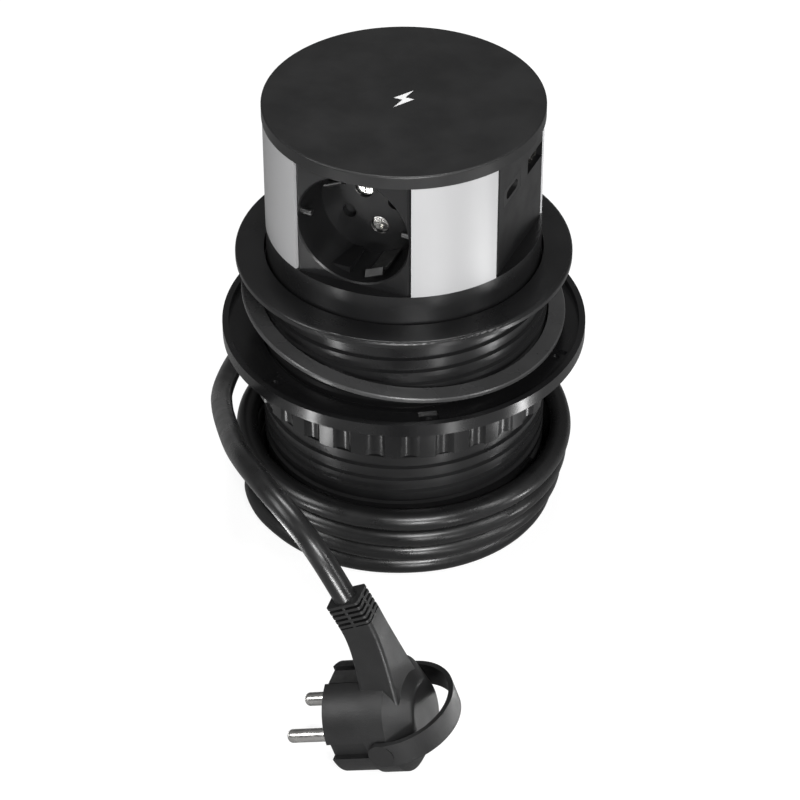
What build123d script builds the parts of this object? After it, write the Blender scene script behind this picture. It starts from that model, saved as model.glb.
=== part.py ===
from build123d import *
import math
import os

# Pop up desk socket. One frame: Z up through the middle of the tower, Z = 0 on the floor,
# the front socket faces -Y and the charging ports face +X. All sizes in millimetres.

# Fits and gaps.
FACE_GAP = 0.1
RUN_GAP = 0.3
BORE_GAP = 0.37
SHAFT_GAP = 0.05
HOLE_GAP = 0.4
CUT_PAST = 1.0
ROOM_PAST = 5.0
QUARTERS = (0, 90, 180, 270)
CORNERS = (45, 135, 225, 315)
TINY = 1e-6

# Tower.
TOWER_R = 50.43
TOWER_TOP_Z = 169.0
LEDGE_Z = 123.5
TOWER_BOTTOM_Z = 86.0
TRAVEL = 61.8
FLAT_APOTHEM = 45.2
FLAT_HALF_W = 21.4
PANEL_T = 1.3
PLATE_T = 2.2
PLATE_CHAMFER = 0.8
PANEL_HALF_DEG = 18.75
POCKET_HALF_W = 21.72
WALL_T = 1.5
CORNER_WALL_T = 2.5
SKIRT_IN_R = 48.0
WEB_T = 3.0
TOP_WEB_T = 2.5
TOP_OPEN_R = 41.2
BOSS_R = 4.0
BOSS_AT_R = 44.4
BOSS_DEG = 45.0
BOSS_HOLE_L = 9.0
TOP_GAP = 0.2

CAP_R = 50.75
CAP_T = 5.0
CAP_EDGE = 0.7
CAP_POCKET_R = 22.5
CAP_POCKET_H = 3.2
CAP_POST_R = 2.6
CAP_POST_AT = 17.0
CAP_TAB_R = 40.8
CAP_TAB_T = 2.4
CAP_TAB_H = 5.0
CAP_TAB_W = 12.0
CAP_POST_IN = 0.5
COIL_IN_R = 10.0
COIL_OUT_R = 21.5
COIL_T = 1.1
FERRITE_R = 22.0
FERRITE_T = 0.8
BOARD_HALF = 19.0
BOARD_T = 1.6
BOARD_Z = 163.0
CHIP_W = 7.0
CHIP_H = 1.2
CHIP_SPOTS = ((-9.0, 5.0), (3.0, 5.0), (9.0, -10.0))
MARK_T = 0.3
MARK_H = 13.0
MARK_W = 7.0
MARK_TIP_SHARE = 0.3
MARK_NOTCH_SHARE = 0.05
MARK_LOW_SHARE = 0.12
MARK_HIGH_SHARE = 0.16

# Socket recess, in the flat's own frame: x right, y up, z outward from the middle.
SOCKET_Z = 145.4
MOUTH_R = 21.3
FLOOR_R = 19.8
RECESS_D = 17.5
MOUTH_CHAMFER = 0.5
CUP_R = 22.2
CUP_FLOOR_T = 2.0
DISC_R = 15.3
DISC_H = 0.6
PIN_PITCH_HALF = 9.5
PIN_R = 2.4
PIN_HOLE_R = 2.6
TURN_DEG = 24.0
SCREW_AT_R = 7.5
SCREW_POCKET_R = 3.5
SCREW_POCKET_D = 2.5
SCREW_BOSS_R = 4.0
SCREW_BOSS_T = 1.0
SCREW_ROOM_D = 2.0
SCREW_HEAD_R = 3.2
SCREW_HEAD_H = 1.8
SCREW_SHANK_R = 1.5
DRIVE_W = 0.8
DRIVE_D = 0.9
DRIVE_SHARE = 0.62
CARRIER_R = 16.4
CARRIER_BACK = 17.2
CARRIER_SKIN = 1.2
SOCKET_SCREW_SHORT = 1.6
SHUTTER_T = 1.4
SHUTTER_HALF_L = 12.3
SHUTTER_HALF_W = 3.2
SHUTTER_TRAVEL = 6.0
SHUTTER_WINDOW_R = 2.65
TUBE_R = 3.6
TUBE_BORE_R = 2.46
TUBE_SLIT_D = 2.5
STRAP_T = 0.8
STRAP_IN_R = 17.4
STRAP_OUT_R = 19.7
CLIP_T = 0.6
CLIP_HALF_W = 3.7
CLIP_R = 18.5
CLIP_TOP_D = 1.0
CLIP_BEND_D = 3.0
CLIP_FOOT_D = 5.0
CLIP_BULGE = 1.5
CLIP_TIP = 0.35
STUD_R = 1.2
STUD_L = 3.2
STUD_D = 4.0
STUD_UP = 1.0
STUD_IN = 2.6
STUD_ROOT = 1.4
PAD_W = 7.4
PAD_H = 1.4
PAD_D = 4.0
PAD_ROUND_GAP = 0.5
PAD_LEFT_X = -6.7
PAD_RIGHT_X = 7.6

# Charging ports.
PORT_Z = 152.9
PORT_C_X = -8.6
PORT_C_FRAME_W = 16.2
PORT_C_FRAME_H = 7.2
PORT_C_SLOT_W = 10.6
PORT_C_SLOT_H = 3.8
PORT_A_X = 13.3
PORT_A_W = 13.8
PORT_A_H = 6.2
PORT_SHELL_T = 0.4
PORT_A_DEPTH = 14.0
PORT_C_DEPTH = 8.6
TONGUE_A_H = 1.9
TONGUE_C_H = 0.8
TONGUE_A_SHARE = 0.82
TONGUE_A_UP_SHARE = 0.08
TONGUE_A_IN = 0.6
TONGUE_C_SHARE = 0.66
TONGUE_C_IN = 0.8
USB_BOARD_OUT = 31.0
USB_BOARD_T = 1.6
USB_BOARD_W = 38.0
USB_BOARD_H = 34.0
USB_BOARD_UP = 13.0
USB_LEDGE_HALF = 2.0
XFMR_W = 15.0
XFMR_H = 14.0
XFMR_D = 10.0
XFMR_LOW = -16.0
CAN_X, CAN_Y, CAN_R, CAN_L = 12.5, 2.0, 4.0, 11.0

# Sleeve and desk flange.
BORE_R = 50.8
SLEEVE_BOTTOM_Z = 19.0
FLANGE_TOP_Z = 112.2
FLANGE_T = 2.5
FLANGE_R = 61.95
FLANGE_EDGE = 1.1
MOUTH_SEAT_R = 51.37
MOUTH_SEAT_H = 5.5
THREAD_ROOT_R = 52.2
THREAD_CREST_R = 53.3
THREAD_PITCH = 5.5
THREAD_TURNS = 14.5
THREAD_START_Z = 26.4
THREAD_ROOT_HALF = 1.7
THREAD_CREST_HALF = 0.95
THREAD_SINK = 0.25
BAND_H = 3.0

# Base cover.
COVER_R = 49.6
COVER_IN_R = 47.4
COVER_FLOOR_T = 1.2
COVER_RIM_R = 52.2
COVER_RIM_H = 2.5
SPIGOT_R = 50.7
SPIGOT_H = 4.6
COVER_SCREW_R = 1.25
COVER_SCREW_HEAD_R = 2.3
COVER_SCREW_L = 3.6
COVER_SCREW_Z = 21.4
FOOT_PAD_R = 5.0
FOOT_SCREW_AT = 13.6
FOOT_SCREW_R = 1.5
FOOT_SCREW_HEAD_R = 2.8
FOOT_SCREW_HEAD_H = 1.5
FOOT_SCREW_SHORT = 0.6
FOOT_HOLE_SHORT = 0.4
FOOT_R = 17.9
FOOT_Z = 3.0
FOOT_T = 3.0

# Lift guide, spring, damper and latch.
POST_R = 8.0
POST_TOP_Z = 92.0
STOP_R = 10.0
STOP_T = 3.0
STOP_SCREW_R = 2.5
STOP_SCREW_L = 12.0
STOP_HOLE_L = 14.0
STOP_KEY_L = 2.0
STOP_KEY_D = 1.8
SPRING_R = 11.2
SPRING_WIRE_R = 0.8
SPRING_TURNS = 7.0
PLATE_R = 47.8
BASE_PLATE_T = 3.0
BUSH_R = 12.2
BUSH_H = 2.8
PLATE_SCREW_R = 1.5
PLATE_SCREW_HEAD_R = 2.8
PLATE_SCREW_HEAD_H = 1.4
PLATE_SCREW_GRIP = 8.0
GEAR_MODULE = 0.8
GEAR_TEETH = 10
TOOTH_SHARE = 0.42
RACK_ROOT_SHARE = 0.62
GEAR_ROOT_SHARE = 0.55
RACK_TOOTH_SINK = 0.2
GEAR_TOOTH_SINK = 0.4
RACK_END_GAP = 1.5
RACK_EXTRA_TEETH = 4
TIP_SHARE = 0.22
ADDENDUM = 0.75
DEDENDUM = 1.05
GEAR_Z = 97.0
GEAR_W = 3.0
RACK_BACK_X = -12.9
RACK_W = 4.0
RACK_FOOT_Z = 6.0
RACK_PITCH_X = -15.4
GEAR_SHAFT_R = 1.2
DAMPER_R = 6.6
DAMPER_GAP = 0.6
DAMPER_L = 8.0
SHAFT_SHARE = 0.6
SHAFT_BORE_SHARE = 0.7
GEAR_ROOM = 1.5
GEAR_ROOM_D = 0.5
LATCH_Y = 22.2
LATCH_W = 10.0
LATCH_L = 8.0
LATCH_TOP_Z = 20.0
STRIKER_W = 6.0
STRIKER_T = 2.4
STRIKER_H = 8.0
STRIKER_ROOM = 2.0
RISER_R = 2.5
RISER_RING_R = 34.0
RISER_BOTTOM_Z = 15.0
RISER_TURNS = 1.25
RISER_END = 5.0
RISER_START_DEG = 115.4

# Clamp nut and gasket.
NUT_R = 67.84
NUT_RIM_TOP_Z = 80.0
NUT_RIM_W = 2.3
NUT_FLOOR_Z = 77.2
NUT_FLANGE_Z = 75.0
NUT_SKIRT_R = 57.0
NUT_SKIRT_Z = 56.4
NUT_BORE_R = 53.65
FLUTES = 28
FLUTE_R = 4.5
FLUTE_DEPTH = 1.8
NUT_POCKETS = 6
NUT_POCKET_AT = 60.0
NUT_POCKET_W = 7.0
NUT_POCKET_D = 1.0
NUT_HOLE_R = 1.4
NUT_HOLE_SKIN = 0.6
NUT_POCKET_DEG = 2.0
GASKET_OUT_R = 60.5
GASKET_IN_R = 54.2
GASKET_T = 2.0
GASKET_EDGE = 0.4
GASKET_Z = 89.5
GASKET_TILT = 7.2
GASKET_HIGH_DEG = 171.35

# Cord.
CORD_R = 4.02
COIL_LEVELS = 4
COIL_R0 = 54.2
COIL_R_STEP = 1.6
COIL_Z0 = 4.3
COIL_Z_STEP = 8.75
COIL_LEFT_RISE = 1.0
COIL_FIRST_DEG = 30.0
COIL_BACK_SHARE = 0.55
COIL_BACK_OUT_SHARE = 0.5
VIEW_DEG = 23.35
START_DEG = 157.0
START_R = 48.5
START_Z = 5.4
START_OUT_DEG = 28.0
START_L = 8.1
COIL_END_R = 60.0
COIL_END_Z = 35.6
GLAND_R = 5.2
GLAND_L = 16.5
GLAND_MOUTH_L = 11.0
CLAMP_AT = 22.2
CLAMP_L = 10.0
CLAMP_OUT = 2.8
CLAMP_IN = 13.0
CLAMP_SCREW_X = 9.0
CLAMP_SCREW_AT = 2.5
CLAMP_TOP_Z = 12.4
CLAMP_SCREW_R = 1.3
CLAMP_SCREW_HEAD_R = 2.4
CLAMP_SCREW_HEAD_H = 1.6
CLAMP_SCREW_SKIN = 2.0
TAIL_L = 28.0
BLOCK_L = 10.0
BLOCK_IN = 12.0
BLOCK_OUT = 0.6
BLOCK_WELLS = 3
BLOCK_WELL_D = 3.0
BLOCK_WELL_SHARE = 0.22

# Plug, in its own frame: face at z = 0, pins to -z, cord side to +y.
PLUG_X, PLUG_Y, PLUG_Z = 41.4, -145.9, 17.55
PLUG_PIN_DIR = (-0.940, -0.101, -0.325)
PLUG_LINE_DIR = (-0.110, 0.9925, 0.011)
PLUG_R = 19.0
PLUG_FRONT_D = 15.0
PLUG_FACE_POCKET_R = 16.0
FACE_DIMPLE_R = 2.4
FACE_DIMPLE_D = 3.0
FACE_DIMPLE_Y = 10.0
PIN_TIP_SHARE = 0.75
BRIDGE_T = 5.0
PIN_L = 19.0
PIN_ROOT = 3.5
PIN_ROOT_R = 2.2
PIN_STEP = 0.5
EARTH_SLOT_W = 9.0
EARTH_SLOT_D = 2.2
EARTH_CLIP_T = 0.8
EARTH_CLIP_W = 6.4
EARTH_CLIP_START = 0.6
EARTH_CLIP_SHORT = 1.0
GUIDE_W = 6.6
GUIDE_D = 2.6
REAR_R = 19.9
REAR_Z = 14.5
REAR_SIDE_Z = 23.0
DOME_Z = 30.5
DOME_FLAT_R = 11.0
DOME_EDGE = 4.0
RELIEF_LEAN = 10.0
RELIEF_Y, RELIEF_Z = 52.3, 18.7
RELIEF_W = 10.2
RELIEF_D = 12.6
RIB_COUNT = 5
RIB_PITCH = 2.0
RIB_T = 1.0
RIB_SINK = 1.5
WEB_HALF = 0.5
NECK_W = 16.0
NECK_D = 13.5
NECK_L = 38.0
NECK_CORNER_R = 1.4
NECK_START = 0.5
NECK_THROAT = 12.0
NECK_THROAT_W_SHARE = 1.2
NECK_THROAT_D_SHARE = 1.02
NECK_ROOT_SHORT = 6.0
NECK_ROOT_PAST = 14.0
NECK_ROOT_W_SHARE = 1.42
NECK_ROOT_D_SHARE = 0.97
NECK_SINKS = (1.5, 3.5, 6.7)
CORNER_SHARE = 0.2
LOOP_PIVOT_Y = 0.0
LOOP_PIVOT_Z = 20.5
LOOP_R = 20.2
LOOP_T = 1.8
LOOP_W = 9.0
LOOP_TOP_Z = 41.0
LOOP_PIN_R = 2.0
LOOP_PIN_L = 1.6
LOOP_PIN_ROOM = 0.6
LOOP_PIN_SINK = 0.3
LOOP_FOOT = 1.5


# Helpers.
MIN = (Align.CENTER, Align.CENTER, Align.MIN)


def rod(r, h, z=0.0, x=0.0, y=0.0):
    return Pos(x, y, z) * Cylinder(r, h, align=MIN)


def tube(ro, ri, h, z=0.0):
    return rod(ro, h, z) - rod(ri, h, z)


def slab(x0, x1, y0, y1, z0, z1):
    size = Box(x1 - x0, y1 - y0, z1 - z0, align=(Align.MIN, Align.MIN, Align.MIN))
    return Pos(x0, y0, z0) * size


def polar(r, deg, z=0.0):
    return Vector(r * math.cos(math.radians(deg)), r * math.sin(math.radians(deg)), z)


def around(angles, shape):
    return [Rot(0, 0, a) * shape for a in angles]


def biarc(p0, t0, p1, t1):
    v = p1 - p0
    t = t0 + t1
    k = 2.0 * (1.0 - t0.dot(t1))
    vt = v.dot(t)
    if k < TINY * TINY:
        d = v.dot(v) / (4.0 * v.dot(t1))
    else:
        d = (math.sqrt(vt * vt + k * v.dot(v)) - vt) / k
    q0 = p0 + t0 * d
    q1 = p1 - t1 * d
    tm = (q1 - q0).normalized()
    pm = (q0 + q1) * 0.5
    return [Edge.make_tangent_arc(p0, t0, pm), Edge.make_tangent_arc(pm, tm, p1)]


def chain(stations):
    edges = []
    for (p0, t0), (p1, t1) in zip(stations, stations[1:]):
        if (p1 - p0).cross(t0).length < TINY:
            edges.append(Edge.make_line(p0, p1))
        else:
            edges.extend(biarc(p0, t0, p1, t1))
    return edges


def sweep_round(edges, r):
    path = Wire(edges)
    section = Plane(origin=path @ 0, z_dir=path % 0) * Circle(r)
    return sweep(section, path=path), path


def rivet_screw(head_r, head_h, shank_r, shank_l):
    head = rod(head_r, head_h, 0)
    shank = rod(shank_r, shank_l, -shank_l)
    drive = slab(-head_r * DRIVE_SHARE, head_r * DRIVE_SHARE, -DRIVE_W / 2, DRIVE_W / 2, head_h - DRIVE_D,
                 head_h + CUT_PAST)
    return head + shank - drive - Rot(0, 0, 90) * drive


def sunk_screw(head_r, head_h, shank_r, shank_l):
    head = Pos(0, 0, -head_h / 2) * Cone(shank_r, head_r, head_h)
    drive = slab(-head_r * DRIVE_SHARE, head_r * DRIVE_SHARE, -DRIVE_W / 2, DRIVE_W / 2, -DRIVE_D,
                 CUT_PAST)
    return head + rod(shank_r, shank_l, -shank_l) - drive - Rot(0, 0, 90) * drive


def flat_frame(deg, z=SOCKET_Z):
    out = polar(1.0, deg)
    right = Vector(0, 0, 1).cross(out)
    return Plane(origin=(0, 0, z), x_dir=right, z_dir=out).location


SOCKET_FLATS = {"front": -90.0, "left": 180.0, "back": 90.0}
PORT_FLAT = 0.0
PANEL_DEGS = {"front_left": -135.0, "front_right": -45.0, "back_right": 45.0, "back_left": 135.0}
FLOOR_OUT = FLAT_APOTHEM - RECESS_D
FLOOR_BACK = FLOOR_OUT - CUP_FLOOR_T
PLATE_BACK = FLAT_APOTHEM - PLATE_T
BODY_R = TOWER_R - PANEL_T
PIN_ANGLES = (TURN_DEG, TURN_DEG + 180.0)
SCREW_ANGLES = (TURN_DEG + 90.0, TURN_DEG - 90.0)


# Sleeve, cover and base parts.
def make_sleeve():
    flange_z = FLANGE_TOP_Z - FLANGE_T
    barrel = rod(THREAD_ROOT_R, flange_z - SLEEVE_BOTTOM_Z, SLEEVE_BOTTOM_Z)
    band = rod(THREAD_CREST_R, BAND_H, flange_z - BAND_H)
    flange = rod(FLANGE_R, FLANGE_T, flange_z)
    rim = [e for e in flange.edges().filter_by(GeomType.CIRCLE) if e.center().Z > flange_z + FLANGE_T / 2]
    flange = fillet(rim, FLANGE_EDGE)
    body = barrel + band + flange
    path = Helix(pitch=THREAD_PITCH, height=THREAD_PITCH * THREAD_TURNS, radius=THREAD_ROOT_R)
    deep = -THREAD_SINK
    tall = THREAD_CREST_R - THREAD_ROOT_R
    profile = Polygon(
        (deep, -THREAD_ROOT_HALF), (deep, THREAD_ROOT_HALF),
        (tall, THREAD_CREST_HALF), (tall, -THREAD_CREST_HALF), align=None,
    )
    section = Plane(origin=path @ 0, x_dir=(1, 0, 0), z_dir=path % 0) * profile
    ridge = sweep(section, path=path, is_frenet=True)
    body = body + Pos(0, 0, THREAD_START_Z) * ridge
    body = body - rod(BORE_R, FLANGE_TOP_Z, 0)
    seat = rod(MOUTH_SEAT_R, MOUTH_SEAT_H + 1, FLANGE_TOP_Z - MOUTH_SEAT_H)
    body = body - seat
    for a in CORNERS:
        hole = Rot(0, 0, a) * Pos(0, 0, COVER_SCREW_Z) * Rot(0, 90, 0)
        body = body - hole * rod(COVER_SCREW_R + FACE_GAP, THREAD_CREST_R)
        sink_h = THREAD_ROOT_R - BORE_R
        cone = Cone(COVER_SCREW_R + FACE_GAP, COVER_SCREW_HEAD_R + FACE_GAP, sink_h, align=MIN)
        body = body - hole * Pos(0, 0, BORE_R) * cone
    return body


def gland_line():
    s = polar(START_R, START_DEG + VIEW_DEG, START_Z)
    radial = polar(1.0, START_DEG + VIEW_DEG)
    tangent = Vector(0, 0, 1).cross(radial)
    c, n = math.cos(math.radians(START_OUT_DEG)), math.sin(math.radians(START_OUT_DEG))
    return s, tangent * c + radial * n


def gland_loc():
    s, d = gland_line()
    return Plane(origin=s, x_dir=Vector(0, 0, 1).cross(d), z_dir=d).location


def gland_shape(r, length, base):
    round_part = rod(r, length, -length)
    foot = slab(-r, r, -(START_Z - base), 0, -length, 0)
    return round_part + foot


def make_cover():
    top = SLEEVE_BOTTOM_Z + SPIGOT_H
    body = rod(COVER_R, SLEEVE_BOTTOM_Z, 0)
    body = body + rod(COVER_RIM_R, COVER_RIM_H, SLEEVE_BOTTOM_Z - COVER_RIM_H)
    body = body + rod(SPIGOT_R, top - SLEEVE_BOTTOM_Z + 1, SLEEVE_BOTTOM_Z - 1)
    body = body - rod(COVER_IN_R, top, COVER_FLOOR_T)
    for a in CORNERS:
        p = polar(FOOT_SCREW_AT, a)
        body = body + rod(FOOT_PAD_R, FOOT_Z - COVER_FLOOR_T, COVER_FLOOR_T, p.X, p.Y)
    for a in CORNERS:
        p = polar(FOOT_SCREW_AT, a)
        body = body - rod(FOOT_SCREW_R + FACE_GAP, FOOT_Z + 1, -1, p.X, p.Y)
        sink = Cone(FOOT_SCREW_HEAD_R + FACE_GAP, FOOT_SCREW_R + FACE_GAP, FOOT_SCREW_HEAD_H, align=MIN)
        body = body - Pos(p.X, p.Y, 0) * sink
        hole = Rot(0, 0, a) * Pos(0, 0, COVER_SCREW_Z) * Rot(0, 90, 0)
        body = body - hole * rod(COVER_SCREW_R, SPIGOT_R + 1)
    notch = gland_shape(GLAND_R, GLAND_L, -1.0)
    lip_room = Pos(0, 0, GLAND_MOUTH_L) * gland_shape(GLAND_R, GLAND_MOUTH_L, -1.0)
    return body - gland_loc() * (notch + lip_room)


def make_gland():
    body = gland_shape(GLAND_R, GLAND_L, FACE_GAP * 2)
    return gland_loc() * (body - rod(CORD_R, GLAND_L, -GLAND_L))


def make_tail():
    return gland_loc() * rod(CORD_R, TAIL_L, -TAIL_L)


def make_clamp():
    depth = CLAMP_TOP_Z - COVER_FLOOR_T - CLAMP_SCREW_SKIN
    low = slab(-CLAMP_OUT, CLAMP_IN, COVER_FLOOR_T - START_Z, CLAMP_TOP_Z - START_Z,
               -CLAMP_AT - CLAMP_L / 2, -CLAMP_AT + CLAMP_L / 2)
    low = low - rod(CORD_R, CLAMP_L * 2, -CLAMP_AT - CLAMP_L)
    for side in (-1, 1):
        hole = Pos(CLAMP_SCREW_X, CLAMP_TOP_Z - START_Z, -CLAMP_AT + side * CLAMP_SCREW_AT)
        low = low - hole * Rot(-90, 0, 0) * rod(CLAMP_SCREW_R, depth, -depth)
    return gland_loc() * low


def make_clamp_screws():
    depth = CLAMP_TOP_Z - COVER_FLOOR_T - CLAMP_SCREW_SKIN
    out = []
    for side in (-1, 1):
        seat = Pos(CLAMP_SCREW_X, CLAMP_TOP_Z - START_Z, -CLAMP_AT + side * CLAMP_SCREW_AT)
        screw = rivet_screw(CLAMP_SCREW_HEAD_R, CLAMP_SCREW_HEAD_H, CLAMP_SCREW_R, depth)
        out.append(gland_loc() * seat * Rot(-90, 0, 0) * screw)
    return out


def make_terminal_block():
    block = slab(-BLOCK_OUT, BLOCK_IN, COVER_FLOOR_T - START_Z, RISER_BOTTOM_Z - START_Z,
                 -TAIL_L - BLOCK_L, -TAIL_L)
    for i in range(BLOCK_WELLS):
        x = -BLOCK_OUT + (i + 1 / 2) * (BLOCK_IN + BLOCK_OUT) / BLOCK_WELLS
        well = Pos(x, RISER_BOTTOM_Z - START_Z, -TAIL_L - BLOCK_L * BLOCK_WELL_SHARE) * Rot(-90, 0, 0)
        block = block - well * rod(COVER_SCREW_R, BLOCK_WELL_D, -BLOCK_WELL_D)
    return gland_loc() * block


def make_post():
    foot = rod(FOOT_R, FOOT_T, FOOT_Z)
    post = rod(POST_R, POST_TOP_Z - FOOT_Z, FOOT_Z)
    body = foot + post
    for a in CORNERS:
        p = polar(FOOT_SCREW_AT, a)
        body = body - rod(FOOT_SCREW_R, FOOT_T - FOOT_HOLE_SHORT, FOOT_Z, p.X, p.Y)
    hole = rod(STOP_SCREW_R, STOP_HOLE_L, POST_TOP_Z - STOP_HOLE_L)
    return body - hole


def make_foot_screws():
    out = []
    long = FOOT_Z + FOOT_T - FOOT_SCREW_SHORT
    for a in CORNERS:
        p = polar(FOOT_SCREW_AT, a)
        screw = sunk_screw(FOOT_SCREW_HEAD_R, FOOT_SCREW_HEAD_H, FOOT_SCREW_R, long)
        out.append(Pos(p.X, p.Y, 0) * Rot(180, 0, 0) * screw)
    return out


def make_cover_screws():
    out = []
    for a in CORNERS:
        screw = sunk_screw(COVER_SCREW_HEAD_R, THREAD_ROOT_R - BORE_R, COVER_SCREW_R, COVER_SCREW_L)
        out.append(Rot(0, 0, a) * Pos(0, 0, COVER_SCREW_Z) * Rot(0, 90, 0)
                   * Pos(0, 0, THREAD_ROOT_R - FACE_GAP / 2) * screw)
    return out


def make_stop():
    body = rod(STOP_R, STOP_T, POST_TOP_Z)
    body = body + rod(STOP_SCREW_R, STOP_SCREW_L, POST_TOP_Z - STOP_SCREW_L)
    hexagon = extrude(RegularPolygon(STOP_SCREW_R, 6), STOP_KEY_L)
    return body - Pos(0, 0, POST_TOP_Z + STOP_T - STOP_KEY_D) * hexagon


def tooth_profile(depth_in, depth_out, thick_root, thick_tip):
    return Polygon((-depth_in, -thick_root / 2), (depth_out, -thick_tip / 2),
                   (depth_out, thick_tip / 2), (-depth_in, thick_root / 2), align=None)


GEAR_PITCH = math.pi * GEAR_MODULE
GEAR_R = GEAR_MODULE * GEAR_TEETH / 2.0
GEAR_X = RACK_PITCH_X - GEAR_R


def make_rack():
    root_x = RACK_PITCH_X + DEDENDUM
    body = slab(root_x, RACK_BACK_X, -RACK_W / 2, RACK_W / 2, RACK_FOOT_Z, POST_TOP_Z)
    tooth = tooth_profile(DEDENDUM + RACK_TOOTH_SINK, ADDENDUM, GEAR_PITCH * RACK_ROOT_SHARE,
                          GEAR_PITCH * TIP_SHARE)
    tooth = extrude(tooth, RACK_W)
    half_teeth = int((POST_TOP_Z - RACK_FOOT_Z) / GEAR_PITCH)
    first = GEAR_Z - GEAR_PITCH / 2
    teeth = []
    for i in range(half_teeth + RACK_EXTRA_TEETH):
        z = first - i * GEAR_PITCH
        if RACK_FOOT_Z + RACK_END_GAP < z < POST_TOP_Z - RACK_END_GAP:
            teeth.append(Pos(RACK_PITCH_X, RACK_W / 2, z) * Rot(90, 0, 0) * Rot(0, 180, 0)
                         * Pos(0, 0, -RACK_W) * tooth)
    return body + teeth


def make_gear():
    body = rod(GEAR_R - DEDENDUM, GEAR_W, -GEAR_W / 2)
    tooth = tooth_profile(DEDENDUM + GEAR_TOOTH_SINK, ADDENDUM, GEAR_PITCH * GEAR_ROOT_SHARE,
                          GEAR_PITCH * TIP_SHARE)
    tooth = Pos(GEAR_R, 0, -GEAR_W / 2) * extrude(tooth, GEAR_W)
    body = body + [Rot(0, 0, 360.0 * i / GEAR_TEETH) * tooth for i in range(GEAR_TEETH)]
    body = body + rod(GEAR_SHAFT_R, DAMPER_L * SHAFT_SHARE + GEAR_W / 2 + DAMPER_GAP, 0)
    return Pos(GEAR_X, 0, GEAR_Z) * Rot(-90, 0, 0) * body


def make_damper():
    y0 = GEAR_W / 2 + DAMPER_GAP
    plate_top = TOWER_BOTTOM_Z + BASE_PLATE_T
    can = Pos(GEAR_X, 0, GEAR_Z) * Rot(-90, 0, 0) * rod(DAMPER_R, DAMPER_L, y0)
    foot = slab(GEAR_X - DAMPER_R, GEAR_X + DAMPER_R, y0, y0 + DAMPER_L, plate_top, GEAR_Z)
    bore = rod(GEAR_SHAFT_R + SHAFT_GAP, DAMPER_L * SHAFT_BORE_SHARE + CUT_PAST, y0 - CUT_PAST)
    bore = Pos(GEAR_X, 0, GEAR_Z) * Rot(-90, 0, 0) * bore
    return can + foot - bore


def make_spring():
    bottom = FOOT_Z + FOOT_T
    height = TOWER_BOTTOM_Z - bottom - 2 * SPRING_WIRE_R
    path = Helix(pitch=height / SPRING_TURNS, height=height, radius=SPRING_R)
    section = Plane(origin=path @ 0, z_dir=path % 0) * Circle(SPRING_WIRE_R)
    return Pos(0, 0, bottom + SPRING_WIRE_R) * sweep(section, path=path, is_frenet=True)


def riser_stations():
    a0 = RISER_START_DEG
    top = TOWER_BOTTOM_Z
    rise = top - RISER_BOTTOM_Z - 4 * RISER_END
    up = Vector(0, 0, 1)
    out = [(polar(RISER_RING_R, a0, RISER_BOTTOM_Z), up),
           (polar(RISER_RING_R, a0, RISER_BOTTOM_Z + RISER_END), up)]
    quarters = int(RISER_TURNS * 4)
    slope = rise / (2 * math.pi * RISER_RING_R * RISER_TURNS)
    for i in range(1, quarters):
        a = a0 + 90.0 * i
        z = RISER_BOTTOM_Z + 2 * RISER_END + rise * i / quarters
        tangent = (Vector(0, 0, 1).cross(polar(1.0, a)) + up * slope).normalized()
        out.append((polar(RISER_RING_R, a, z), tangent))
    a = a0 + 90.0 * quarters
    out.append((polar(RISER_RING_R, a, top - RISER_END), up))
    out.append((polar(RISER_RING_R, a, top), up))
    return out


def make_latch():
    body = slab(-LATCH_W / 2, LATCH_W / 2, LATCH_Y - LATCH_L / 2, LATCH_Y + LATCH_L / 2,
                COVER_FLOOR_T, LATCH_TOP_Z)
    room = RUN_GAP * 2
    deep = STRIKER_H + STRIKER_ROOM
    slot = slab(-STRIKER_W / 2 - room, STRIKER_W / 2 + room, LATCH_Y - STRIKER_T / 2 - room,
                LATCH_Y + STRIKER_T / 2 + room, LATCH_TOP_Z - deep, LATCH_TOP_Z + 1)
    return body - slot


# Nut and gasket.
def make_nut():
    body = rod(NUT_R, NUT_RIM_TOP_Z - NUT_FLANGE_Z, NUT_FLANGE_Z)
    body = body - rod(NUT_R - NUT_RIM_W, NUT_RIM_TOP_Z, NUT_FLOOR_Z)
    skirt = rod(NUT_SKIRT_R, NUT_FLANGE_Z - NUT_SKIRT_Z + CUT_PAST, NUT_SKIRT_Z)
    cutter = rod(FLUTE_R, NUT_FLANGE_Z - NUT_SKIRT_Z + 1, NUT_SKIRT_Z - 1,
                 NUT_SKIRT_R + FLUTE_R - FLUTE_DEPTH)
    skirt = skirt - around([360.0 * i / FLUTES for i in range(FLUTES)], cutter)
    body = body + skirt
    notch = slab(NUT_POCKET_AT - NUT_POCKET_W / 2, NUT_POCKET_AT + NUT_POCKET_W / 2,
                 -NUT_POCKET_W / 2, NUT_POCKET_W / 2, NUT_FLOOR_Z - NUT_POCKET_D, NUT_FLOOR_Z + 1)
    hole = rod(NUT_HOLE_R, NUT_RIM_TOP_Z, NUT_FLANGE_Z + NUT_HOLE_SKIN, NUT_POCKET_AT)
    angles = [NUT_POCKET_DEG + 360.0 * i / NUT_POCKETS for i in range(NUT_POCKETS)]
    body = body - around(angles, notch) - around(angles, hole)
    return body - rod(NUT_BORE_R, NUT_RIM_TOP_Z, NUT_SKIRT_Z - 1)


def make_gasket():
    ring = Pos(0, 0, -GASKET_T / 2) * tube(GASKET_OUT_R, GASKET_IN_R, GASKET_T)
    rims = [e for e in ring.edges().filter_by(GeomType.CIRCLE) if e.radius > GASKET_IN_R + 1]
    ring = chamfer(rims, GASKET_EDGE)
    tilted = Rot(0, -GASKET_TILT, 0) * ring
    return Pos(0, 0, GASKET_Z) * Rot(0, 0, GASKET_HIGH_DEG) * tilted


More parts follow.
